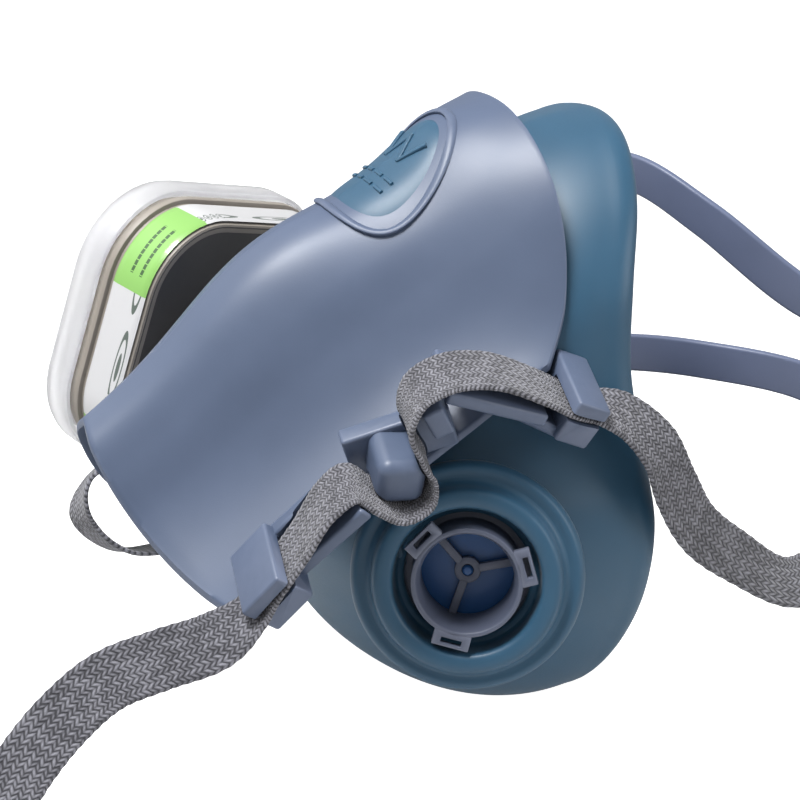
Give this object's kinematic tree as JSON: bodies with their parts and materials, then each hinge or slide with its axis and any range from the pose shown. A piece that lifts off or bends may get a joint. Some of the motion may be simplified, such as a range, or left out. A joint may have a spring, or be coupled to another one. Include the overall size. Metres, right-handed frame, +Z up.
{
  "type": "respirator",
  "caption": "Reusable half-face respirator: soft cup with a saddle-shaped nose shell, twist-on side ports, a filter cartridge and a drop-down strap harness.",
  "frame": {"origin": "centre of the face opening, on the line of the wearer's mouth", "axes": "+Z up the wearer's face, -Y ahead of the wearer, +X to the wearer's left, where the port is free"},
  "size_m": [0.2131, 0.3062, 0.1915],
  "materials": {
    "silicone": "matte moulded silicone, teal blue",
    "shell_plastic": "fine-textured satin plastic, blue grey",
    "port_plastic": "satin moulded plastic, grey",
    "webbing": "woven elastic webbing, grey",
    "valve_rubber": "smooth silicone flap, blue",
    "case_plastic": "moulded plastic, warm grey",
    "label_paper": "printed film sticker, green and white",
    "felt": "pressed fibre felt, white",
    "carbon": "packed granules, black",
    "retainer_plastic": "milky translucent plastic",
    "cradle_plastic": "flexible satin plastic, blue grey"
  },
  "bodies": {
    "mask": {"facepiece": "silicone", "nose_pad": "silicone", "nose_shell": "shell_plastic", "bayonet_near": "port_plastic", "bayonet_far": "port_plastic", "exhalation_seat": "port_plastic", "webbing_near": "webbing", "webbing_far": "webbing"},
    "exhalation_valve": {"exhalation_flap": "valve_rubber"},
    "inhalation_valve_near": {"inhalation_flap_near": "valve_rubber"},
    "inhalation_valve_far": {"inhalation_flap_far": "valve_rubber"},
    "gasket": {"port_gasket": "silicone"},
    "cartridge": {"cartridge_socket": "case_plastic", "cartridge_case": "case_plastic", "cartridge_label": "label_paper", "inner_screen": "felt", "carbon_bed": "carbon", "outer_screen": "felt"},
    "filter_pad": {"dust_filter": "felt"},
    "retainer": {"filter_retainer": "retainer_plastic"},
    "cradle": {"crown_cradle": "cradle_plastic"},
    "slider_left": {"slider_near": "cradle_plastic"},
    "slider_right": {"slider_far": "cradle_plastic"},
    "hook": {"neck_hook": "cradle_plastic"},
    "catch": {"neck_catch": "cradle_plastic"}
  },
  "joints": [
    {"name": "exhale_lift", "type": "slide", "parent": "mask", "child": "exhalation_valve", "axis": [0, -0.8453, -0.5342], "range_m": [0, 0.002], "stiffness_N_per_m": 5},
    {"name": "inhale_lift_near", "type": "slide", "parent": "mask", "child": "inhalation_valve_near", "axis": [-0.8896, 0.4198, -0.1799], "range_m": [0, 0.0015], "stiffness_N_per_m": 5},
    {"name": "inhale_lift_far", "type": "slide", "parent": "mask", "child": "inhalation_valve_far", "axis": [0.8896, 0.4198, -0.1799], "range_m": [0, 0.0015], "stiffness_N_per_m": 5},
    {"name": "cartridge_pull", "type": "slide", "parent": "mask", "child": "gasket", "axis": [-0.8896, -0.4198, 0.1799], "range_m": [0, 0.03]},
    {"name": "cartridge_twist", "type": "hinge", "parent": "gasket", "child": "cartridge", "pos_m": [-0.056, -0.0458, -0.0169], "axis": [-0.8896, -0.4198, 0.1799], "range_deg": [0, 20]},
    {"name": "retainer_pull", "type": "slide", "parent": "cartridge", "child": "retainer", "axis": [-0.8896, -0.4198, 0.1799], "range_m": [0, 0.03]},
    {"name": "filter_pull", "type": "slide", "parent": "cartridge", "child": "filter_pad", "axis": [-0.8896, -0.4198, 0.1799], "range_m": [0, 0.015]},
    {"name": "cradle_swing", "type": "hinge", "parent": "mask", "child": "cradle", "pos_m": [0.018, 0.112, -0.044], "axis": [0.793, 0.6016, -0.0957], "range_deg": [-10, 25]},
    {"name": "slider_near_run", "type": "slide", "parent": "mask", "child": "slider_left", "axis": [0.6066, -0.7943, 0.0339], "range_m": [0, 0.004]},
    {"name": "slider_far_run", "type": "slide", "parent": "mask", "child": "slider_right", "axis": [0.4084, -0.4085, 0.8163], "range_m": [0, 0.004]},
    {"name": "hook_swing", "type": "hinge", "parent": "mask", "child": "hook", "pos_m": [0.073, -0.171, -0.082], "axis": [0.8986, 0.4388, 0], "range_deg": [-25, 25]},
    {"name": "catch_swing", "type": "hinge", "parent": "mask", "child": "catch", "pos_m": [-0.062, -0.008, -0.066], "axis": [1, 0, 0], "range_deg": [-25, 25]}
  ],
  "couplings": [
    {"joint": "filter_pull", "follows": "retainer_pull", "ratio": 0.5}
  ]
}
